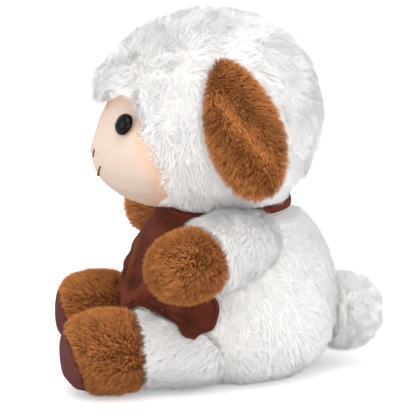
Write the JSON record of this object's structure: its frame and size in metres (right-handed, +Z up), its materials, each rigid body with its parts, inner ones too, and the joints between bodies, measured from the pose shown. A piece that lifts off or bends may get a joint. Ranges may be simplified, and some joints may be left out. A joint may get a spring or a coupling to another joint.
{
  "type": "plush lamb",
  "caption": "Seated plush lamb with a wool hood and body, brown fur ears, paws and feet, suede soles, a suede bib and a pompom tail.",
  "frame": {"origin": "on the flat underside of the seat, in the middle plane", "axes": "+Z up, the lamb faces -Y, its own left side is +X"},
  "size_m": [0.271, 0.2608, 0.283],
  "materials": {
    "wool": "long soft white pile",
    "brown_fur": "dense brown pile with paler tips",
    "suede": "matt dark-brown micro suede",
    "face_cloth": "short peach pile",
    "eye": "polished black dome",
    "washer": "plain moulded plastic",
    "thread": "embroidery thread",
    "fibre": "loose polyester fibre",
    "pellets": "pellets in a cotton bag"
  },
  "bodies": {
    "trunk": {"body_shell": "wool", "body_stuffing": "fibre", "pellet_pouch": "pellets", "bib_panel": "suede", "neck_strap": "suede"},
    "neck": {"neck_stuffing": "fibre"},
    "head": {"head_hood": "wool", "face_panel": "face_cloth", "head_stuffing": "fibre", "left_eye": "eye", "right_eye": "eye", "left_eye_washer": "washer", "right_eye_washer": "washer", "left_nostril_stitch": "thread", "right_nostril_stitch": "thread", "mouth_stitch": "thread"},
    "left_ear": {"left_ear_back": "brown_fur", "left_ear_lining": "brown_fur"},
    "right_ear": {"right_ear_back": "brown_fur", "right_ear_lining": "brown_fur"},
    "left_arm": {"left_sleeve": "wool", "left_paw": "brown_fur", "left_arm_stuffing": "fibre"},
    "right_arm": {"right_sleeve": "wool", "right_paw": "brown_fur", "right_arm_stuffing": "fibre"},
    "left_leg": {"left_leg": "wool", "left_foot": "brown_fur", "left_sole": "suede", "left_leg_stuffing": "fibre"},
    "right_leg": {"right_leg": "wool", "right_foot": "brown_fur", "right_sole": "suede", "right_leg_stuffing": "fibre"},
    "tail": {"tail_pompom": "wool", "tail_stuffing": "fibre"}
  },
  "joints": [
    {"name": "head_turn", "type": "hinge", "parent": "trunk", "child": "neck", "pos_m": [0, -0.018, 0.132], "axis": [0, 0, 1], "range_deg": [-25, 25], "stiffness_Nm_per_rad": 0.3},
    {"name": "head_nod", "type": "hinge", "parent": "neck", "child": "head", "pos_m": [0, -0.075, 0.134], "axis": [1, 0, 0], "range_deg": [0, 10], "stiffness_Nm_per_rad": 0.3},
    {"name": "left_ear_flap", "type": "hinge", "parent": "head", "child": "left_ear", "pos_m": [0.066, -0.035, 0.258], "axis": [0, -1, 0], "range_deg": [0, 70]},
    {"name": "right_ear_flap", "type": "hinge", "parent": "head", "child": "right_ear", "pos_m": [-0.066, -0.035, 0.258], "axis": [0, 1, 0], "range_deg": [0, 70]},
    {"name": "left_arm_open", "type": "hinge", "parent": "trunk", "child": "left_arm", "pos_m": [0.06, 0.01, 0.122], "axis": [0, 0, 1], "range_deg": [0, 40], "stiffness_Nm_per_rad": 0.1},
    {"name": "right_arm_open", "type": "hinge", "parent": "trunk", "child": "right_arm", "pos_m": [-0.06, 0.01, 0.122], "axis": [0, 0, -1], "range_deg": [0, 40], "stiffness_Nm_per_rad": 0.1},
    {"name": "left_leg_spread", "type": "hinge", "parent": "trunk", "child": "left_leg", "pos_m": [0.079, -0.02, 0.031], "axis": [0, 0, 1], "range_deg": [0, 20], "stiffness_Nm_per_rad": 0.2, "deforming": ["bib_panel"]},
    {"name": "right_leg_spread", "type": "hinge", "parent": "trunk", "child": "right_leg", "pos_m": [-0.079, -0.02, 0.031], "axis": [0, 0, -1], "range_deg": [0, 20], "stiffness_Nm_per_rad": 0.2, "deforming": ["bib_panel"]},
    {"name": "tail_wag", "type": "hinge", "parent": "trunk", "child": "tail", "pos_m": [0, 0.068, 0.043], "axis": [0, 0, 1], "range_deg": [-8, 8], "stiffness_Nm_per_rad": 0.05}
  ]
}
